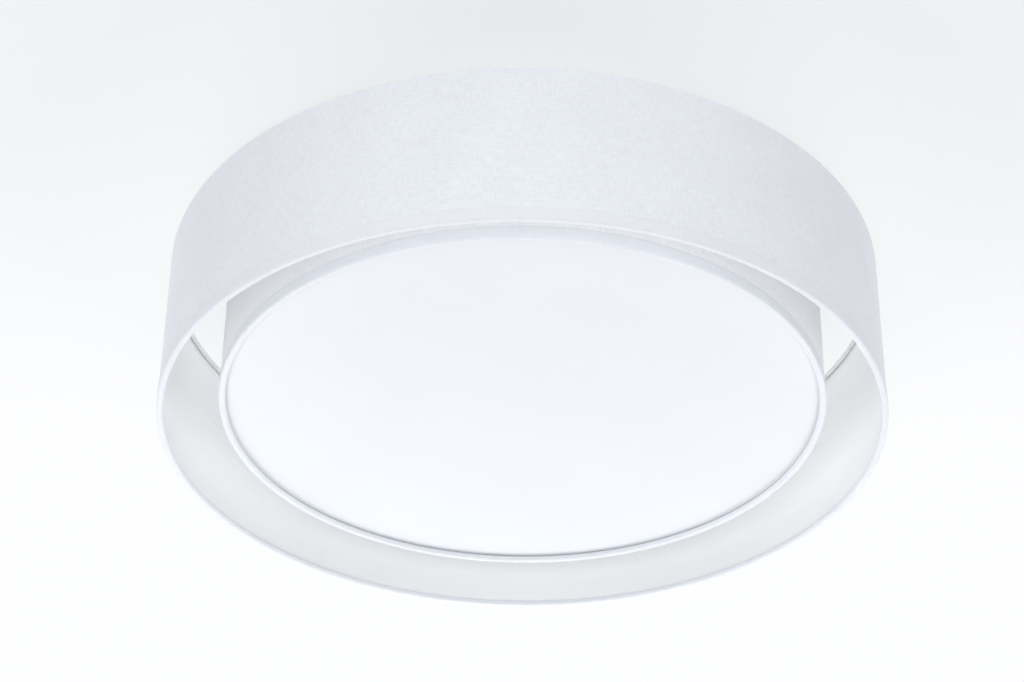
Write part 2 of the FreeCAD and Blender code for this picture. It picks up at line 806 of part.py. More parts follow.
def holder_leads():
    """One sleeved lead from the box to the back of each lampholder."""
    leads = []
    end = holder_back + lead_inset
    entry = bracket_face - nipple_nut_height - nipple_length
    gate = -box_width / 2
    for x, a in zip(lead_places(), lead_azimuths()):
        t = math.radians(a)
        aim = (math.cos(t), math.sin(t))
        start = (x, -strip_width / 2 - rest_gap, lead_z())
        out = (x, gate - 4 * lead_radius, lead_z())
        drop = (x, gate - 4 * lead_radius, (lead_z() + lamp_z) / 2 - lead_radius)
        turn = (aim[0] * entry / 3, aim[1] * entry / 3, lamp_z)
        leads.append(tube_along([start, out, drop, turn, (aim[0] * end, aim[1] * end, lamp_z)],
                                lead_radius))
    return leads


def lead_azimuths():
    """The lampholders' directions, in the order of the leads along X."""
    turns = sorted((math.cos(math.radians(a)), a) for a in azimuths(lamp_azimuth, lamp_count))
    return [a for _, a in turns]


# ---------------------------------------------------------------- write the nodes
save("mounting_strap", mounting_strap())
save("strap_studs", *strap_studs())
save("cap_nuts", *cap_nuts())
save("ceiling_pan", ceiling_pan())
save("cable_grommet", grommet())
save("connection_box", connection_box())
save("connection_lid", connection_lid())
save("terminal_strip", terminal_strip())
save("terminal_screws", *terminal_screws())
save("earth_screw", *earth_screw())
save("earth_lug", earth_lug())
save("earth_wire", earth_wire())
save("holder_leads", *holder_leads())

for i, a in enumerate(azimuths(lamp_azimuth, lamp_count), start=1):
    save(f"bracket_{i}", turned(bracket(), a))
    save(f"lampholder_{i}", turned(lampholder(), a))
    save(f"socket_shell_{i}", turned(socket_shell(), a))
    save(f"socket_contact_{i}", turned(socket_contact(), a))
    save(f"bulb_tip_{i}", turned(bulb_tip_contact(), a))
    save(f"bulb_cap_{i}", turned(bulb_cap(), a))
    save(f"bulb_housing_{i}", turned(bulb_housing(), a))
    save(f"bulb_globe_{i}", turned(bulb_globe(), a))

lamps = azimuths(lamp_azimuth, lamp_count)
save("nipple_nuts", *[turned(nipple_nut(), a) for a in lamps])
save("bracket_screws", *[turned(screw, a) for a in lamps for screw in foot_screws()])
save("bracket_nuts", *[turned(nut, a) for a in lamps for nut in foot_nuts()])

save("rim_nuts", *rim_nuts())
for i, a in enumerate(azimuths(thumb_azimuth, thumb_count), start=1):
    save(f"thumb_screw_{i}", turned(thumb_screw(), a))
    save(f"thumb_washer_{i}", turned(thumb_washer_ring(), a))

save("fitter_ring", fitter_ring())
save("spokes", *spokes())
save("outer_top_ring", ring(outer_radius, spoke_z))
save("inner_top_ring", ring(inner_radius, inner_ring_z))
save("outer_lower_ring", ring(outer_radius, lower_ring_z(outer_rim)))
save("inner_lower_ring", ring(inner_radius, lower_ring_z(inner_rim)))
save("outer_drum", drum(outer_radius, outer_rim, shade_top))
save("inner_drum", drum(inner_radius, inner_rim, inner_top))
save("outer_binding", binding(outer_radius, outer_rim))
save("inner_binding", binding(inner_radius, inner_rim))
save("diffuser", diffuser())
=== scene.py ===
# %% [markdown]
# # A flush ceiling light with two linen drums
#
# The light is two short drums of white linen, one inside the other, hung flat against a ceiling.
# An opal disc closes the inner drum. The engineering model already holds every piece at its real
# size, so this script only dresses it: it loads that model, adds cloth, liner, bindings and disc
# where the smooth solids are too plain, and gives every piece a finish.

# %% Load the engineering model
import json
import math

import bpy
import numpy as np
from mathutils import Matrix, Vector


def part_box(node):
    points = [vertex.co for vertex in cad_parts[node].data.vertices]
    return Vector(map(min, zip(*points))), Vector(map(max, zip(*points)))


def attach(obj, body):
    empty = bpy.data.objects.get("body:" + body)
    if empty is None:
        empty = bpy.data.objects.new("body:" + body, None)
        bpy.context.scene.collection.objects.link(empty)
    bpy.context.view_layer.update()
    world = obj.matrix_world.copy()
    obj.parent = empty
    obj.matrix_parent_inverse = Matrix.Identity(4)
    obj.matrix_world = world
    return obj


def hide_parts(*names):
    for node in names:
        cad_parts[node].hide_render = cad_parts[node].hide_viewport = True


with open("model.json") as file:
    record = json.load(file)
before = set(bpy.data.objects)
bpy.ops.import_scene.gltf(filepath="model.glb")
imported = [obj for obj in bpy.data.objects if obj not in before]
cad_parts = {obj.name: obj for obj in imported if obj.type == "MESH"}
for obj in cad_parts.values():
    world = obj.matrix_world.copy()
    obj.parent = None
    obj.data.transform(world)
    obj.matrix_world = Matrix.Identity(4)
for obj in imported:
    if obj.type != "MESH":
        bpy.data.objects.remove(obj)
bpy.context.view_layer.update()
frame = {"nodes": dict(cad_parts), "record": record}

print("pieces in the model:", len(frame["nodes"]))

# %% [markdown]
# The sizes of the drums come from the model itself. A ring's wire is as thick as the ring is
# tall. Only what a box can't show is written here: the thickness of a drum's wall and of the
# cloth on its rim.

# %% Sizes, in metres
MM = 0.001


def half_width(node):
    """Half the width of a piece along X: the radius of a round one."""
    low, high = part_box(node)
    return (high[0] - low[0]) / 2


def span_z(node):
    """The lowest and highest point of a piece."""
    low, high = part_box(node)
    return low[2], high[2]


def drum_sizes(side):
    """A drum's radius and three heights: its rim, its top, and the top of the strip on its rim."""
    rim, strip_top = span_z(f"{side}_binding")
    return {"radius": round(half_width(f"{side}_drum"), 4), "rim": rim,
            "top": span_z(f"{side}_drum")[1], "strip": strip_top}


DRUMS = {side: drum_sizes(side) for side in ("outer", "inner")}
LAMINATE = 0.8 * MM               # linen and liner together
STRIP_CLOTH = 0.4 * MM            # the thickness of the bindings' cloth
ring_low, ring_high = span_z("outer_lower_ring")
RING_WIRE = round(ring_high - ring_low, 4)
print("ring wire:", round(RING_WIRE / MM, 1), "mm")
for side, drum in DRUMS.items():
    print(side, "drum:", {key: round(float(value), 4) for key, value in drum.items()})

# %% [markdown]
# ## The camera
#
# The photograph looks up at the light from about 1.8 metres away. A camera in Blender looks along
# its own -Z, so its matrix is built from three directions: right, up and backwards. They start on
# the line to the rim's centre and are then turned a little, because the photograph isn't aimed
# exactly at it.

# %% Camera
LENS = 91.4                       # in millimetres, as the sensor
SENSOR = 36.0
DISTANCE = 1.7905                 # from the centre of the outer drum's lower rim
ELEVATION = math.radians(31.79)   # how steeply the line of sight climbs
AIM_RIGHT = math.radians(-0.24)
AIM_UP = math.radians(2.08)
ROLL = math.radians(0.52)


def unit(vector):
    """The vector at length 1."""
    return vector / np.linalg.norm(vector)


def camera_axes():
    """Right, up and ahead of the camera, after aim and roll.

    With a and b the aim to the right and up, ahead becomes
    ahead cos(a) cos(b) + right sin(a) cos(b) + up sin(b). Right and up then turn by the roll.
    """
    right = np.array([1.0, 0.0, 0.0])
    ahead = np.array([0.0, math.cos(ELEVATION), math.sin(ELEVATION)])
    up = np.cross(right, ahead)
    ahead = (ahead * math.cos(AIM_RIGHT) * math.cos(AIM_UP)
             + right * math.sin(AIM_RIGHT) * math.cos(AIM_UP) + up * math.sin(AIM_UP))
    right = unit(np.cross(ahead, up))
    up = np.cross(right, ahead)
    turned_right = right * math.cos(ROLL) + up * math.sin(ROLL)
    turned_up = up * math.cos(ROLL) - right * math.sin(ROLL)
    return turned_right, turned_up, ahead


def placed(right, up, back, place):
    """The 4 by 4 matrix of an object whose X, Y and Z point right, up and back, at a place."""
    matrix = np.eye(4)
    matrix[:3] = np.stack([right, up, back, place], axis=1)
    return Matrix(matrix.tolist())


def make_camera():
    """A camera at the photograph's place."""
    right, up, ahead = camera_axes()
    place = np.array([0.0, -DISTANCE * math.cos(ELEVATION),
                      DRUMS["outer"]["rim"] - DISTANCE * math.sin(ELEVATION)])
    data = bpy.data.cameras.new("camera")
    data.lens = LENS
    data.sensor_fit = "HORIZONTAL"
    data.sensor_width = SENSOR
    data.clip_start = 0.01
    camera = bpy.data.objects.new("camera", data)
    camera.matrix_world = placed(right, up, -ahead, place)
    bpy.context.scene.collection.objects.link(camera)
    bpy.context.scene.camera = camera
    return place


print("camera at", np.round(make_camera(), 3))

# %% [markdown]
# ## Making surfaces from numbers
#
# Every new piece here is round, so one helper makes them all. A closed outline of (radius, height)
# points is carried round the axis, which gives a grid of points: one row for each direction and
# one column for each outline point. Both ways the grid closes on itself, so the mesh has no edge
# and no seam. The helper also lays a map in metres on the surface, with the length round the drum
# and the length along the outline, so that a weave keeps its true size.

# %% Surface helpers
TURN = 2 * math.pi


def angles(count, close_ups=(), reach=0.0, extra=0):
    """Directions round the axis: even steps, with extra ones within reach of a few angles."""
    even = np.linspace(0, TURN, count, endpoint=False)
    more = [a + np.linspace(-reach, reach, extra) for a in close_ups]
    return np.unique(np.round(np.concatenate([even, *more]) % TURN, 7))


def ring_mesh(name, turn, radius, height, along):
    """A closed surface from two arrays (direction, outline point): radius and height.

    x = radius cos(turn), y = radius sin(turn), z = height. The outline runs anticlockwise as seen
    in the (radius, height) plane, which points the faces outwards. along is the distance along
    the outline, for the surface map.
    """
    rows, columns = radius.shape
    spin = turn[:, None]
    points = np.stack([radius * np.cos(spin), radius * np.sin(spin), height], axis=2)
    index = np.arange(rows * columns).reshape(rows, columns)
    right = np.roll(index, -1, axis=0)
    quads = np.stack([index, right, np.roll(right, -1, axis=1), np.roll(index, -1, axis=1)], axis=2)
    quads = quads.reshape(-1, 4)
    mesh = bpy.data.meshes.new(name)
    mesh.vertices.add(rows * columns)
    mesh.vertices.foreach_set("co", points.reshape(-1))
    mesh.loops.add(quads.size)
    mesh.loops.foreach_set("vertex_index", quads.reshape(-1).astype(np.int32))
    mesh.polygons.add(len(quads))
    mesh.polygons.foreach_set("loop_start", np.arange(len(quads), dtype=np.int32) * 4)
    mesh.polygons.foreach_set("use_smooth", np.ones(len(quads), bool))
    mesh.update(calc_edges=True)
    step = np.append(turn, turn[0] + TURN)
    length = float(along[-1] + np.hypot(radius[0, -1] - radius[0, 0], height[0, -1] - height[0, 0]))
    rim = float(radius.max())
    u = np.stack([step[:-1], step[1:], step[1:], step[:-1]], axis=1) * rim
    v = np.append(along, length)
    u = np.broadcast_to(u[:, None, :], (rows, columns, 4))
    v = np.broadcast_to(np.stack([v[:-1], v[:-1], v[1:], v[1:]], axis=1)[None], (rows, columns, 4))
    layer = mesh.uv_layers.new(name="surface")
    layer.data.foreach_set("uv", np.stack([u, v], axis=3).reshape(-1).astype(np.float32))
    return show(name, mesh)


def show(name, mesh):
    """Put a finished mesh into the scene, with its object at the origin."""
    mesh.validate()
    piece = bpy.data.objects.new(name, mesh)
    bpy.context.scene.collection.objects.link(piece)
    return piece


def run_length(outline):
    """Distance along an outline from its first point to each of its points."""
    steps = np.hypot(*np.diff(outline, axis=0).T)
    return np.concatenate([[0.0], np.cumsum(steps)])


def arc(middle, radius, start, end, count):
    """Points of a circle from one angle to another, in degrees."""
    t = np.radians(np.linspace(start, end, count))
    return np.stack([middle[0] + radius * np.cos(t), middle[1] + radius * np.sin(t)], axis=1)


def line(start, end, count):
    """Evenly spaced points from start, up to but without end."""
    t = np.linspace(0, 1, count, endpoint=False)[:, None]
    return np.array(start) * (1 - t) + np.array(end) * t


def wander(turn, waves, seed):
    """A smooth closed wave round the drum, from -1 to 1: a sum of sines with whole turns.

    sum over k of sin(k turn + phase_k) / n for the n wave counts k, with phases from the seed.
    """
    phases = np.random.default_rng(seed).uniform(0, TURN, len(waves))
    return sum(np.sin(k * turn + p) for k, p in zip(waves, phases)) / len(waves)


# %% [markdown]
# ## The drums: linen outside, liner inside
#
# A drum shade is a strip of linen bonded to a stiff white liner. Where the strip's ends meet they
# overlap by a few millimetres, and that lap shows as a low step down the drum. Each drum here is
# one closed sheet of true thickness with two finishes: linen on the faces that look outwards,
# liner on the others.

# %% Laminated drums
SEAM = {"outer": math.radians(64), "inner": math.radians(52)}   # where the laps are: at the back
LAP = 8 * MM
LAP_RISE = 0.35 * MM
LAP_CUT = 0.12 * MM               # how wide the lap's sharp step is
LAP_SOFT = 0.8 * MM               # and its soft one
LAP_CLOSE_UP = 3 * MM             # as far as this each side of a step, the mesh has more rows
LAP_POINTS = 13                   # and so many of them
CUT_ABOVE_RIM = 1.25 * MM         # the sheet ends inside the fold of the binding
DENT = 0.12 * MM                  # the height of the dents
DENT_WAVES = (5, 8, 13, 21)       # and how many go round the drum, in the four waves added up
DRUM_ROUNDS = 640                 # directions round the axis
WALL_POINTS = 20                  # outline points up a wall
EDGE_POINTS = 8                   # and round a cut edge


def lap_step(turn, seam, radius):
    """The lap's raised step: 0 to 1 over the cut edge, then back more softly.

    s(x / LAP_CUT) - s((x - LAP) / LAP_SOFT), where s(x) = 1 / (1 + e^-x) is a smooth step and x
    is the distance from the cut edge.
    """
    x = ((turn - seam + math.pi) % TURN - math.pi) * radius
    sharp = 1 / (1 + np.exp(-np.clip(x / LAP_CUT, -40, 40)))
    soft = 1 / (1 + np.exp(-np.clip((x - LAP) / LAP_SOFT, -40, 40)))
    return sharp - soft


def laminate(side):
    """A drum's sheet with small dents and the lap, and which of its faces are liner.

    The outline goes up the outside and down the inside, with rounded cut edges. The liner begins
    and ends halfway round these. A dent is DENT sin(pi share) wander(turn), none at top and rim.
    """
    drum = DRUMS[side]
    outside = drum["radius"]
    inside = outside - LAMINATE
    middle = (outside + inside) / 2
    cut = LAMINATE / 2
    bottom = drum["rim"] + CUT_ABOVE_RIM
    top = drum["top"]
    steps = [SEAM[side], SEAM[side] + LAP / outside]
    turn = angles(DRUM_ROUNDS, steps, LAP_CLOSE_UP / outside, LAP_POINTS)
    outline = np.concatenate([
        line((outside, bottom + cut), (outside, top - cut), WALL_POINTS),
        arc((middle, top - cut), cut, 0, 180, EDGE_POINTS + 1)[:-1],
        line((inside, top - cut), (inside, bottom + cut), WALL_POINTS),
        arc((middle, bottom + cut), cut, 180, 360, EDGE_POINTS + 1)[:-1],
    ])
    height = np.broadcast_to(outline[:, 1], (len(turn), len(outline)))
    radius = np.broadcast_to(outline[:, 0], height.shape).copy()
    share = (height - bottom) / (top - bottom)
    dents = DENT * np.sin(math.pi * share) * wander(turn, DENT_WAVES, seed=3)[:, None]
    looks_out = outline[:, 0] > middle
    lap = lap_step(turn, SEAM[side], outside)[:, None] * looks_out[None, :] * LAP_RISE
    radius += dents + lap
    piece = ring_mesh(f"{side}_linen_drum", turn, radius, height, run_length(outline))
    columns = np.tile(np.arange(len(outline)), len(turn))
    first = WALL_POINTS + EDGE_POINTS // 2
    last = len(outline) - EDGE_POINTS // 2
    return piece, ((columns >= first) & (columns < last)).astype(np.int32)


drums = {}
liner_faces = {}
for side, drum in DRUMS.items():
    drums[side], liner_faces[side] = laminate(side)
    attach(drums[side], "shades")
    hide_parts(f"{side}_drum")
    print(side, "drum:", len(drums[side].data.vertices), "points")

# %% [markdown]
# ## The bindings
#
# Each lower rim is finished with a narrow strip of the same linen. It lies flat on the outside,
# turns under the rim, goes round the wire ring inside and ends on top of the ring. The cloth is
# pulled round a curve there, so it gathers in tiny puckers on the inside, and its outer edge isn't
# perfectly level. Both are small waves round the drum, added to a clean outline.

# %% Rim bindings
BINDING_ROUNDS = 1500
RING_ROOM = 0.1 * MM              # between the wire ring and the cloth round it
WALL_ROOM = 0.05 * MM             # between the liner and the cloth's inner end
CREASE = 1.2 * MM                 # the fold's radius at the outer corner of the rim
OUTSIDE_TO = 0.3 * MM             # inwards from the drum's outside, what still counts as such
EDGE_WAVE = 0.18 * MM             # how far the strip's upper edge wanders
EDGE_FROM = 0.75                  # and the share of its height above which it does
EDGE_WAVES = (17, 29, 47, 83)
PILLOW = 0.05 * MM                # how far the strip bulges on the outside
PILLOW_WAVES = (31, 53, 71)
PUCKER = 0.10 * MM                # how deep the gathers inside are
PUCKER_WAVES = (151, 197, 233, 271)
PUCKER_FROM = 1.5 * MM            # they start this far inwards from the drum's outside
PUCKER_OVER = 2 * MM              # and reach their depth over this width


def binding_outline(radius, rim, strip_top):
    """The strip's closed cross-section: its outer face, then back along its inner face.

    The outer face follows a rectangle round laminate and wire, with the crease outside and the
    wire's own radius inside. The inner face is the same line, one cloth's thickness within.
    """
    curl = RING_WIRE / 2 + STRIP_CLOTH
    half = STRIP_CLOTH / 2
    outside = radius + STRIP_CLOTH
    inside = radius - LAMINATE - RING_WIRE - STRIP_CLOTH - RING_ROOM
    shelf = rim + 2 * STRIP_CLOTH + RING_WIRE + RING_ROOM
    wall = radius - LAMINATE - WALL_ROOM
    bend = inside + curl
    corner = (outside - CREASE, rim + CREASE)
    outer = np.concatenate([
        line((wall, shelf), (bend, shelf), 3),
        arc((bend, shelf - curl), curl, 90, 180, 6),
        arc((bend, rim + curl), curl, 180, 270, 6),
        line((bend, rim), (corner[0], rim), 3)[1:],
        arc(corner, CREASE, 270, 360, 5),
        line((outside, corner[1]), (outside, strip_top - half), 5)[1:],
        arc((outside - half, strip_top - half), half, 0, 180, 5),
    ])
    inner = np.concatenate([
        line((radius, strip_top - half), (radius, corner[1]), 5)[1:],
        arc(corner, CREASE - STRIP_CLOTH, 360, 270, 5),
        line((corner[0], rim + STRIP_CLOTH), (bend, rim + STRIP_CLOTH), 3)[1:],
        arc((bend, rim + curl), curl - STRIP_CLOTH, 270, 180, 6),
        arc((bend, shelf - curl), curl - STRIP_CLOTH, 180, 90, 6),
        line((bend, shelf - STRIP_CLOTH), (wall, shelf - STRIP_CLOTH), 3)[1:],
        [(wall, shelf - STRIP_CLOTH)],
    ])
    return np.concatenate([outer, inner])


def signed_area(outline):
    """Twice the outline's area, positive if it runs anticlockwise."""
    x, y = outline.T
    return float(np.sum(x * np.roll(y, -1) - np.roll(x, -1) * y))


def binding(side):
    """The folded linen strip on a drum's rim, with puckers and a slightly uneven edge.

    The upper edge on the outside moves by EDGE_WAVE (wander - 1), up to that much either way of
    its middle. The outside bulges by PILLOW (1 + wander) sin(pi level), and the cloth inside the
    rim moves by PUCKER (1 + wander), with many more waves.
    """
    drum = DRUMS[side]
    turn = angles(BINDING_ROUNDS)
    outline = binding_outline(drum["radius"], drum["rim"], drum["strip"])
    if signed_area(outline) < 0:
        outline = outline[::-1]
    radius = np.broadcast_to(outline[:, 0], (len(turn), len(outline))).copy()
    height = np.broadcast_to(outline[:, 1], radius.shape).copy()
    tall = drum["strip"] - drum["rim"]
    level = (height - drum["rim"]) / tall
    on_outside = outline[:, 0] > drum["radius"] - OUTSIDE_TO
    edge = np.clip((level - EDGE_FROM) / (1 - EDGE_FROM), 0, 1) * on_outside[None, :]
    height += edge * EDGE_WAVE * (wander(turn, EDGE_WAVES, seed=7) - 1)[:, None]
    lift = np.sin(math.pi * np.clip(level, 0, 1)) * on_outside[None, :]
    radius += lift * PILLOW * (1 + wander(turn, PILLOW_WAVES, seed=11))[:, None]
    within = np.clip((drum["radius"] - PUCKER_FROM - radius) / PUCKER_OVER, 0, 1)
    radius += within * PUCKER * (1 + wander(turn, PUCKER_WAVES, seed=13))[:, None]
    piece = ring_mesh(f"{side}_binding_cloth", turn, radius, height, run_length(outline))
    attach(piece, "shades")
    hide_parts(f"{side}_binding")
    return piece


bindings = {side: binding(side) for side in DRUMS}

# %% [markdown]
# ## The diffuser
#
# The opal disc is a sheet with eased edges. It sags by a fraction of a millimetre between its
# supports, which is enough to keep its reflections from looking machine-made. A disc has a middle,
# where a grid of rings would pinch to a point, so each side's middle gets a small fan of
# triangles of its own.

# %% Opal disc
DISC_SPREAD = 0.4 * MM            # the real sheet is cut to leave only a hairline at the liner
DISC_SAG = 0.3 * MM
DISC_ROUNDS = 360                 # directions round the axis
DISC_RINGS = 25                   # rings on each side


def disc(name, node):
    """A round sheet: underside and top as rings between middle and rim, and an eased edge.

    It hangs lower by DISC_SAG (1 - (r / R)^2), near enough the shape of a loaded plate.
    """
    low, high = span_z(node)
    edge_radius = half_width(node) + DISC_SPREAD
    ease = (high - low) * 0.3
    turn = angles(DISC_ROUNDS)
    spread = np.linspace(0, 1, DISC_RINGS + 1)[1:] * (edge_radius - ease)
    under = np.stack([spread, np.full(DISC_RINGS, low)], axis=1)
    over = np.stack([spread[::-1], np.full(DISC_RINGS, high)], axis=1)
    outline = np.concatenate([
        under[:-1],
        arc((edge_radius - ease, low + ease), ease, 270, 360, 6),
        arc((edge_radius - ease, high - ease), ease, 0, 90, 6),
        over[1:],
    ])
    radius = outline[:, 0]
    height = outline[:, 1] - DISC_SAG * (1 - (radius / edge_radius) ** 2)
    count = len(turn)
    x = np.outer(np.cos(turn), radius)
    y = np.outer(np.sin(turn), radius)
    points = np.stack([x, y, np.broadcast_to(height, x.shape)], axis=2).reshape(-1, 3)
    points = np.concatenate([points, [[0, 0, low - DISC_SAG], [0, 0, high - DISC_SAG]]])
    index = np.arange(count * len(radius)).reshape(count, len(radius))
    right = np.roll(index, -1, axis=0)
    quads = np.stack([index[:, :-1], right[:, :-1], right[:, 1:], index[:, 1:]], axis=2).reshape(-1, 4)
    centre = np.full(count, count * len(radius))
    lower_cap = np.stack([centre, right[:, 0], index[:, 0]], axis=1)
    upper_cap = np.stack([centre + 1, index[:, -1], right[:, -1]], axis=1)
    mesh = bpy.data.meshes.new(name)
    mesh.from_pydata(points.tolist(), [], quads.tolist() + lower_cap.tolist() + upper_cap.tolist())
    mesh.polygons.foreach_set("use_smooth", np.ones(len(mesh.polygons), bool))
    return show(name, mesh)


opal_disc = disc("opal_disc", "diffuser")
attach(opal_disc, "diffuser_disc")
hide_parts("diffuser")
print("disc radius", round((half_width("diffuser") + DISC_SPREAD) / MM, 1), "mm")

# %% [markdown]
# ## Finishes
#
# Every finish is worked out by nodes from a position: the piece's own coordinates in metres, or
# the surface map on cloth. Two small wrappers keep the node code short. `Nodes` adds nodes to any
# node tree and joins them, and `Finish` is a material with one shader to feed.

# %% Small wrappers for nodes
class Nodes:
    """A node tree, with short calls that add nodes to it."""

    def __init__(self, tree):
        self.tree = tree
        self.place = self.node("ShaderNodeTexCoord")

    def put(self, value, socket):
        """Set a socket to a number or a colour, or join another socket to it."""
        if isinstance(value, bpy.types.NodeSocket):
            self.tree.links.new(value, socket)
        else:
            socket.default_value = value

    def node(self, kind, inputs=None, **settings):
        """A new node with its settings made and its inputs put in."""
        made = self.tree.nodes.new(kind)
        for key, value in settings.items():
            setattr(made, key, value)
        for key, value in (inputs or {}).items():
            self.put(value, made.inputs[key])
        return made

    def math(self, operation, a, b=0.0, c=0.0):
        """A math node's result."""
        return self.node("ShaderNodeMath", {0: a, 1: b, 2: c}, operation=operation).outputs[0]

    def mix(self, factor, a, b, data="FLOAT", blend="MIX"):
        """A mix of two numbers, or of two colours where data is RGBA."""
        return self.node("ShaderNodeMix", {"Factor": factor, "A": a, "B": b}, data_type=data,
                         blend_type=blend).outputs["Result"]

    def mix_shaders(self, factor, a, b):
        """A shader that is a at factor 0 and b at factor 1."""
        return self.node("ShaderNodeMixShader", {0: factor, 1: a, 2: b}).outputs[0]

    def parts(self, vector):
        """The x, y and z of a position."""
        return self.node("ShaderNodeSeparateXYZ", {0: vector}).outputs

    def stretched(self, source, scale):
        """Coordinates scaled along each axis, which stretches a pattern."""
        return self.node("ShaderNodeMapping", {"Vector": source, "Scale": scale}).outputs[0]

    def noise(self, vector, scale, detail=4.0):
        """Soft noise from 0 to 1 at a scale, in waves to the metre."""
        return self.node("ShaderNodeTexNoise", {"Vector": vector, "Scale": scale,
                                                "Detail": detail}).outputs["Fac"]

    def ranged(self, value, low, high, source_low=0.3, source_high=0.7):
        """A value mapped from one range to another."""
        return self.node("ShaderNodeMapRange", {"Value": value, "From Min": source_low,
                                                "From Max": source_high, "To Min": low,
                                                "To Max": high}).outputs[0]

    def shown(self):
        """1 for a ray that looks, straight or by a reflection or glass, 0 for one of light."""
        path = self.node("ShaderNodeLightPath").outputs
        return self.math("MAXIMUM", path["Is Camera Ray"],
                         self.math("MAXIMUM", path["Is Glossy Ray"], path["Is Transmission Ray"]))


class Finish(Nodes):
    """A material with one Principled shader, and short calls that feed it."""

    def __init__(self, name, color, roughness, metallic=0.0, specular=0.5):
        self.material = bpy.data.materials.new(name)
        self.material.use_nodes = True
        super().__init__(self.material.node_tree)
        self.color = (*color, 1.0)
        self.shader = self.tree.nodes["Principled BSDF"]
        self.feed("Base Color", self.color)
        self.feed("Roughness", roughness)
        self.feed("Metallic", metallic)
        self.feed("Specular IOR Level", specular)

    def feed(self, socket, value):
        """Give the shader a number, a colour or a pattern."""
        self.put(value, self.shader.inputs[socket])

    def shade(self, amount):
        """Multiply the base colour by a varying amount."""
        grey = self.node("ShaderNodeCombineColor", {0: amount, 1: amount, 2: amount}).outputs[0]
        self.feed("Base Color", self.mix(1.0, self.color, grey, "RGBA", "MULTIPLY"))

    def tint(self, factor, other):
        """Turn the base colour into another one by a factor."""
        self.feed("Base Color", self.mix(factor, self.color, (*other, 1.0), "RGBA"))

    def rough(self, pattern, low, high, *source):
        """Let the roughness follow a pattern between two values."""
        self.feed("Roughness", self.ranged(pattern, low, high, *source))

    def bump(self, height, distance, strength=1.0):
        """Bumps of a real depth in metres."""
        bump = self.node("ShaderNodeBump", {"Height": height, "Distance": distance,
                                            "Strength": strength})
        self.feed("Normal", bump.outputs[0])


# %% [markdown]
# ### Linen
#
# Plain weave is a chessboard: in one square the upright thread lies on top, in the next the level
# one. Each square's height is a rounded thread, high along its middle, and the colour follows it as
# painted shade and highlight: a little darker between the threads, a little lighter on top. Real
# linen threads also swell and thin along their length, so two long, stretched noises, one for each
# direction, vary both the height and the colour. That slubbiness is what shows from a distance,
# where single threads are too fine to see. The two drums and the bindings share the weave, each in
# its own white. The inner drum gets less light than the outer one, so its linen is painted paler,
# as painted light that makes up for the shade between the drums.

# %% Linen finish
THREAD = 0.9 * MM
SLUB_WIDTH = 900                  # a slub's noise across the thread, in waves to the metre
SLUB_LENGTH = 150                 # and along it
SLUBS_FROM, SLUBS_TO = 0.75, 1.25  # where the sum of the two slub noises mostly lies


def thread_wave(cloth, distance):
    """The thread's rounded height, |sin(pi d)|, for a distance d counted in threads."""
    return cloth.math("ABSOLUTE", cloth.math("SINE", cloth.math("MULTIPLY", distance, math.pi)))


def on_top(cloth, wave, other):
    """The height of a thread that lies on top: wave (0.55 + 0.45 other)."""
    return cloth.math("MULTIPLY", wave, cloth.math("MULTIPLY_ADD", other, 0.45, 0.55))


def linen(name, color, slub=0.04):
    """Plain weave on the surface map, with slubs that change the colour by the share slub.

    With a = u / THREAD and b = v / THREAD, each square is sin(pi a) (0.55 + 0.45 sin(pi b)) where
    the upright thread is on top, and the same with a and b exchanged where the level one is. The
    level one is on top where floor(a) + floor(b) is odd.
    """
    cloth = Finish(name, color, 0.85, specular=0.2)
    surface = cloth.place.outputs["UV"]
    parts = cloth.parts(surface)
    a = cloth.math("DIVIDE", parts[0], THREAD)
    b = cloth.math("DIVIDE", parts[1], THREAD)
    across, along = thread_wave(cloth, a), thread_wave(cloth, b)
    squares = cloth.math("ADD", cloth.math("FLOOR", a), cloth.math("FLOOR", b))
    odd = cloth.math("FLOORED_MODULO", squares, 2.0)
    weave = cloth.mix(odd, on_top(cloth, across, along), on_top(cloth, along, across))
    upright_slub = cloth.noise(cloth.stretched(surface, (SLUB_WIDTH, SLUB_LENGTH, 1)), 1.0, 3.0)
    level_slub = cloth.noise(cloth.stretched(surface, (SLUB_LENGTH, SLUB_WIDTH, 1)), 1.0, 3.0)
    slubs = cloth.math("ADD", upright_slub, level_slub)
    cloud = cloth.noise(cloth.place.outputs["Object"], 30.0, 2.0)
    tone_and_weave_shade = cloth.ranged(slubs, 1.0 - slub, 1.0 + slub, SLUBS_FROM, SLUBS_TO)
    tone_and_weave_shade = cloth.math("MULTIPLY", tone_and_weave_shade, cloth.ranged(cloud, 0.985, 1.01))
    # painted shade and highlight: the weave's low points between threads are darker, its crowns
    # lighter
    tone_and_weave_shade = cloth.math("MULTIPLY", tone_and_weave_shade, cloth.ranged(weave, 0.975, 1.012, 0.0, 1.0))
    cloth.shade(tone_and_weave_shade)
    cloth.bump(cloth.math("ADD", weave, cloth.math("MULTIPLY", slubs, 0.8)), 0.08 * MM, 0.6)
    cloth.rough(slubs, 0.78, 0.92, SLUBS_FROM, SLUBS_TO)
    cloth.feed("Sheen Weight", 0.15)
    cloth.feed("Sheen Roughness", 0.5)
    return cloth.material


LINENS = {
    "outer": linen("fine_linen", (0.82, 0.845, 0.89)),
    # painted light: the inner linen is paler than the outer one to make up for the shade between the
    # drums
    "inner": linen("inner_linen_painted_paler", (0.89, 0.905, 0.92)),
    "binding": linen("binding_linen", (0.81, 0.83, 0.875), slub=0.02),
}
print("linens:", [cloth.name for cloth in LINENS.values()])

# %% [markdown]
# ### Liner, opal sheet, metals and plastics
#
# The other finishes share one idea: one noise for colour, one for gloss and one for relief, each
# at the size that its process leaves. A sprayed metal has a fine orange peel, a rolled or drawn
# one has streaks along one direction, and a moulding has a faint grain.

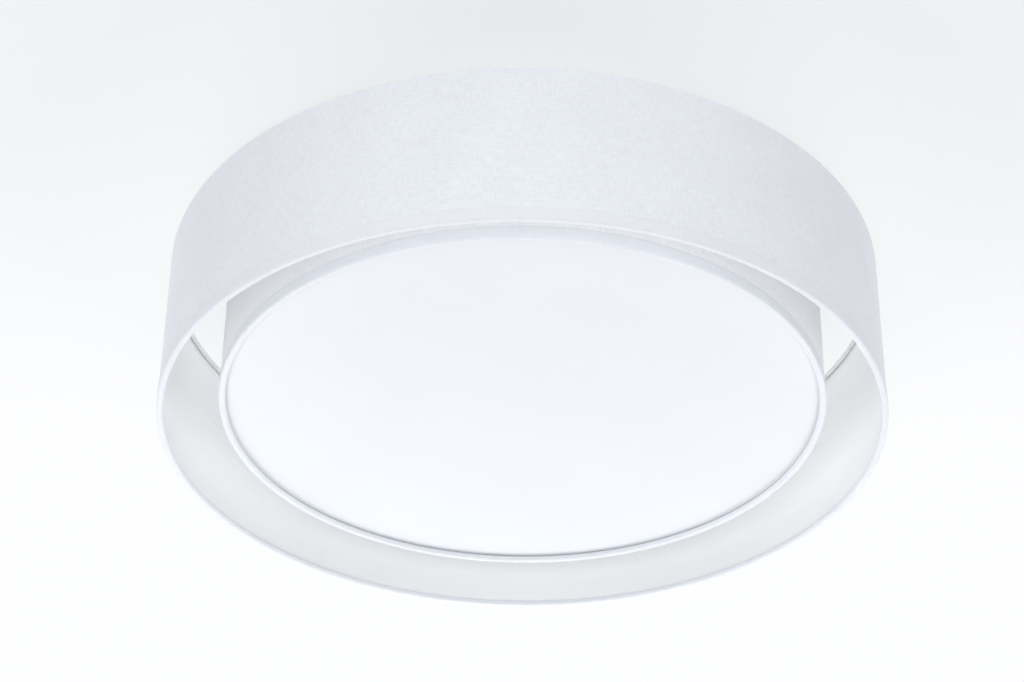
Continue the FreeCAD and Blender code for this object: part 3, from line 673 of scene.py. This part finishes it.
# %% Plain finishes
def liner():
    """A smooth white film with a faint rolled grain."""
    film = Finish("liner_film", (0.96, 0.962, 0.97), 0.6, specular=0.2)
    place = film.place.outputs["Object"]
    grain = film.noise(film.stretched(place, (1, 1, 12)), 22.0, 3.0)
    film.shade(film.ranged(grain, 0.985, 1.01))
    film.rough(grain, 0.54, 0.68)
    film.bump(film.noise(place, 500.0, 2.0), 0.005 * MM)
    return film.material


def opal(name, color, roughness, grain_scale):
    """A satin, milky plastic with barely visible clouds."""
    sheet = Finish(name, color, roughness, specular=0.35)
    place = sheet.place.outputs["Object"]
    cloud = sheet.noise(place, 14.0, 3.0)
    sheet.shade(sheet.ranged(cloud, 0.99, 1.008))
    sheet.rough(sheet.noise(place, 60.0, 3.0), roughness - 0.04, roughness + 0.05)
    sheet.bump(sheet.noise(place, grain_scale, 2.0), 0.006 * MM)
    return sheet.material


def sprayed(name, color, roughness=0.45):
    """Powder coat: orange peel about a millimetre across, and a little dust."""
    coat = Finish(name, color, roughness, specular=0.5)
    place = coat.place.outputs["Object"]
    coat.shade(coat.ranged(coat.noise(place, 45.0, 5.0), 0.965, 1.015))
    coat.rough(coat.noise(place, 120.0, 4.0), roughness - 0.08, roughness + 0.10)
    coat.bump(coat.noise(place, 900.0, 2.0), 0.02 * MM)
    return coat.material


def metal(name, color, roughness, streak=(1.0, 1.0, 1.0)):
    """Bare or plated metal: streaks along the direction it was drawn in, and cloudy plating."""
    bare = Finish(name, color, roughness, metallic=1.0)
    place = bare.place.outputs["Object"]
    streaks = bare.noise(bare.stretched(place, streak), 500.0, 4.0)
    cloud = bare.noise(place, 90.0, 3.0)
    bare.shade(bare.math("MULTIPLY", bare.ranged(streaks, 0.9, 1.04), bare.ranged(cloud, 0.93, 1.03)))
    both = bare.math("ADD", streaks, cloud)
    bare.rough(both, roughness - 0.08, roughness + 0.12, 0.7, 1.3)
    bare.bump(streaks, 0.01 * MM)
    return bare.material


def moulded(name, color, roughness, grain=1400.0):
    """Moulded plastic or rubber with a fine spark grain."""
    part = Finish(name, color, roughness, specular=0.45)
    place = part.place.outputs["Object"]
    part.shade(part.ranged(part.noise(place, 80.0, 4.0), 0.96, 1.02))
    part.rough(part.noise(place, 200.0, 3.0), roughness - 0.07, roughness + 0.08)
    part.bump(part.noise(place, grain, 2.0), 0.015 * MM)
    return part.material


FINISHES = {
    "liner": liner(),
    "opal_sheet": opal("opal_sheet", (0.78, 0.80, 0.83), 0.48, 1500.0),
    "bulb_opal": opal("bulb_opal", (0.86, 0.86, 0.84), 0.42, 1800.0),
    "white_paint": sprayed("white_powder_coat", (0.82, 0.82, 0.81)),
    "shade_wire": sprayed("coated_wire", (0.88, 0.88, 0.87), 0.38),
    "zinc_steel": metal("zinc_plated_steel", (0.62, 0.63, 0.65), 0.34, (0.15, 1.0, 1.0)),
    "knurled_steel": metal("nickel_plated_steel", (0.66, 0.65, 0.63), 0.24),
    "socket_metal": metal("pressed_socket_metal", (0.70, 0.70, 0.69), 0.30),
    "contact_brass": metal("sprung_brass", (0.76, 0.60, 0.30), 0.30),
    "screw_brass": metal("turned_brass", (0.72, 0.56, 0.28), 0.32),
    "tip_metal": metal("tinned_contact", (0.68, 0.66, 0.61), 0.40),
    "grommet_rubber": moulded("grommet_rubber", (0.025, 0.025, 0.026), 0.62),
    "box_plastic": moulded("box_plastic", (0.78, 0.78, 0.76), 0.45),
    "strip_plastic": moulded("strip_plastic", (0.72, 0.70, 0.63), 0.50),
    "holder_plastic": moulded("holder_plastic", (0.79, 0.79, 0.77), 0.40),
    "bulb_plastic": moulded("bulb_plastic", (0.83, 0.83, 0.82), 0.28, 2200.0),
    "lead_sleeve": moulded("lead_sleeve", (0.74, 0.74, 0.72), 0.50),
}
print("plain finishes:", len(FINISHES))

# %% [markdown]
# ### Two finishes that change over the piece
#
# A bulb's cap is metal down to the tip, where a dark insulating cone separates the two contacts.
# The earth wire's sleeve is green with yellow along it. Both read the piece's own coordinates:
# the cone by its distance from the light's axis, which the tips of the bulbs point at, and the
# yellow by a noise that is fine in height and long the other ways, as the wire lies about level.

# %% Bulb cap and earth sleeve
CONE_BLACK = (0.02, 0.02, 0.022, 1.0)
CONE_REACH = 4.0 * MM             # from the middle of the tip contact to the cone's foot
CONE_EDGE = 0.3 * MM


def cap_finish():
    """Nickel plate, and black where the cap is nearer the light's axis than the thread.

    The share of metal climbs from 0 to 1 over CONE_EDGE of the distance sqrt(x^2 + y^2), from
    the cone's foot on.
    """
    cap = Finish("bulb_cap_metal", (0.74, 0.73, 0.71), 0.25, metallic=1.0)
    place = cap.place.outputs["Object"]
    parts = cap.parts(place)
    flat = cap.node("ShaderNodeCombineXYZ", {0: parts[0], 1: parts[1]}).outputs[0]
    reach = cap.node("ShaderNodeVectorMath", {0: flat}, operation="LENGTH").outputs["Value"]
    tip = float(np.linalg.norm(np.mean(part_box("bulb_tip_1"), axis=0)[:2]))
    foot = tip + CONE_REACH
    metal_part = cap.ranged(reach, 0.0, 1.0, foot, foot + CONE_EDGE)
    cap.feed("Base Color", cap.mix(metal_part, CONE_BLACK, cap.color, "RGBA"))
    cap.feed("Metallic", metal_part)
    cap.rough(cap.noise(place, 300.0, 3.0), 0.20, 0.36)
    cap.bump(cap.noise(place, 700.0, 3.0), 0.01 * MM)
    return cap.material


def earth_sleeve():
    """Green with yellow where a noise, 15 times finer in height than along it, is high."""
    sleeve = Finish("earth_sleeve", (0.06, 0.30, 0.07), 0.42, specular=0.45)
    place = sleeve.place.outputs["Object"]
    side = sleeve.noise(sleeve.stretched(place, (60, 60, 900)), 1.0, 0.0)
    sleeve.tint(sleeve.ranged(side, 0.0, 1.0, 0.48, 0.52), (0.80, 0.66, 0.05))
    sleeve.bump(sleeve.noise(place, 1200.0, 2.0), 0.01 * MM)
    return sleeve.material


FINISHES["cap_metal"] = cap_finish()
FINISHES["earth_sleeve"] = earth_sleeve()

# %% [markdown]
# ### Give every piece its finish
#
# The record names a material slot for each piece of the model. Pieces that keep their solid take
# the finish of that name, and the new cloth pieces take theirs one by one.

# %% Assign finishes
def dress(piece, material):
    """Replace whatever materials a piece has with one."""
    piece.data.materials.clear()
    piece.data.materials.append(material)


FINISHES["linen"] = LINENS["outer"]
FINISHES["linen_binding"] = LINENS["binding"]
for entry in frame["record"]["subparts"]:
    dress(frame["nodes"][entry["node"]], FINISHES[entry["material_slot"]])
for side, piece in drums.items():
    dress(piece, LINENS[side])
    piece.data.materials.append(FINISHES["liner"])
    piece.data.polygons.foreach_set("material_index", liner_faces[side])
for piece in bindings.values():
    dress(piece, LINENS["binding"])
dress(opal_disc, FINISHES["opal_sheet"])
print("dressed", len(frame["nodes"]) + len(drums) + len(bindings) + 1, "pieces")

# %% [markdown]
# ## Ceiling, light and background
#
# This light hangs, so its floor is a ceiling. For what looks at it from below, the panel is white
# plaster that takes the light's soft shadow, with a painted glow laid over it: half glow at the front
# and all glow towards the back, so the shadow shows only faintly in front and not at all behind. From
# above it is clear, so that the light can be looked at from the back, and it lets the pale world
# shine through onto the light, as if the whole ceiling glowed evenly. That keeps the deep gap between
# the drums from going dark, and lights the top side for other views. The rest comes from large soft
# lamps below the ceiling.

# %% Ceiling panel
CEILING_HALF = 4.0
CEILING_GAP = 0.5 * MM            # above the mounting plane, so that nothing touches it
FADE_FROM, FADE_TO = -0.30, 0.20  # from front to back, in metres from the light's axis


def ceiling_material():
    """Plaster seen from below, fading to white towards the back, and otherwise clear.

    The plain white is a painted glow laid over the lit plaster. Both its share and its level grow
    evenly from FADE_FROM to FADE_TO, which paints the plaster brighter towards the back and lightens
    its shadow, by half in front and entirely behind.
    """
    plaster = Finish("ceiling_plaster", (0.89, 0.90, 0.925), 0.9, specular=0.2)
    place = plaster.place.outputs["Object"]
    y = plaster.parts(place)[1]
    plaster.bump(plaster.noise(place, 260.0, 4.0), 0.03 * MM)
    share = plaster.ranged(y, 0.5, 1.0, FADE_FROM, FADE_TO)
    level = plaster.ranged(y, 0.87, 1.0, FADE_FROM, FADE_TO)
    # painted light: this glow brightens the plaster and lightens the shadow cast on it
    white = plaster.node("ShaderNodeEmission", {"Color": (0.985, 0.99, 1, 1), "Strength": level})
    lit = plaster.mix_shaders(share, plaster.shader.outputs[0], white.outputs[0])
    clear = plaster.node("ShaderNodeBsdfTransparent").outputs[0]
    behind = plaster.node("ShaderNodeNewGeometry").outputs["Backfacing"]
    solid = plaster.math("MULTIPLY", plaster.shown(), plaster.math("SUBTRACT", 1.0, behind))
    output = next(node for node in plaster.tree.nodes if node.type == "OUTPUT_MATERIAL")
    plaster.put(plaster.mix_shaders(solid, clear, lit), output.inputs["Surface"])
    return plaster.material


def ceiling():
    """A square panel just above the mounting plane, facing down."""
    signs = np.array([[-1, -1], [-1, 1], [1, 1], [1, -1]])
    corners = np.column_stack([signs * CEILING_HALF, np.full(4, CEILING_GAP)])
    mesh = bpy.data.meshes.new("ceiling_panel")
    mesh.from_pydata(corners.tolist(), [], [(0, 1, 2, 3)])
    panel = show("ceiling_panel", mesh)
    dress(panel, ceiling_material())


ceiling()
print("ceiling:", 2 * CEILING_HALF, "m square")

# %% [markdown]
# The world does two jobs. What looks at it, straight or in a reflection, gets a plain pale grey,
# so the background stays even. As light it is a little cool, faint at the horizon, stronger from
# straight below, and strongest from above, where it shines through the clear ceiling.

# %% World
AT_HORIZON = 0.25
STRAIGHT_BELOW = 0.60
ABOVE = 0.95
BACKGROUND = (0.8, 0.8, 0.8, 1.0)
DAYLIGHT = (0.97, 0.985, 1.0, 1.0)


def make_world():
    """A plain background to look at, and a light that depends on its direction.

    level = AT_HORIZON + (STRAIGHT_BELOW - AT_HORIZON) * (-z) for directions that point down, and
    ABOVE for those that point up, where z is the direction's height from -1 to 1.
    """
    world = bpy.data.worlds.new("pale_room")
    bpy.context.scene.world = world
    world.use_nodes = True
    world.node_tree.nodes.clear()
    room = Nodes(world.node_tree)
    z = room.parts(room.place.outputs["Generated"])[2]
    below = room.ranged(z, AT_HORIZON, STRAIGHT_BELOW, 0.0, -1.0)
    level = room.mix(room.math("GREATER_THAN", z, 0.0), below, ABOVE)
    light = room.node("ShaderNodeBackground", {"Color": DAYLIGHT, "Strength": level}).outputs[0]
    plain = room.node("ShaderNodeBackground", {"Color": BACKGROUND, "Strength": 1.0}).outputs[0]
    room.node("ShaderNodeOutputWorld", {"Surface": room.mix_shaders(room.shown(), light, plain)})


make_world()
print("world: light", AT_HORIZON, "at the horizon,", STRAIGHT_BELOW, "below and", ABOVE, "above")

# %% [markdown]
# Three large, soft lamps below the ceiling do the rest: one in front, and two smaller ones behind,
# one on each side, for what faces away from the camera. Large lamps give soft shadows, as the
# photograph's do.

# %% Lamps
def soft_lamp(name, azimuth, below, distance, size, power):
    """A square lamp that faces the light's middle and doesn't show itself.

    azimuth turns from the camera's side towards the right, below is the angle under the ceiling,
    and both are in degrees.
    """
    azimuth, below = math.radians(azimuth), math.radians(below)
    place = distance * np.array([math.cos(below) * math.sin(azimuth),
                                 -math.cos(below) * math.cos(azimuth), -math.sin(below)])
    data = bpy.data.lights.new(name, "AREA")
    data.shape = "SQUARE"
    data.size = size
    data.energy = power
    lamp = bpy.data.objects.new(name, data)
    back = unit(place)
    right = unit(np.cross([0.0, 0.0, 1.0], back))
    lamp.matrix_world = placed(right, np.cross(back, right), back, place)
    lamp.visible_camera = False
    bpy.context.scene.collection.objects.link(lamp)


soft_lamp("front", -3, 35, distance=2.4, size=1.5, power=23.5)
soft_lamp("far_left", -135, 35, distance=1.35, size=0.9, power=8.8)
soft_lamp("far_right", 135, 35, distance=1.35, size=0.9, power=7.8)
bpy.context.scene.view_settings.view_transform = "Standard"
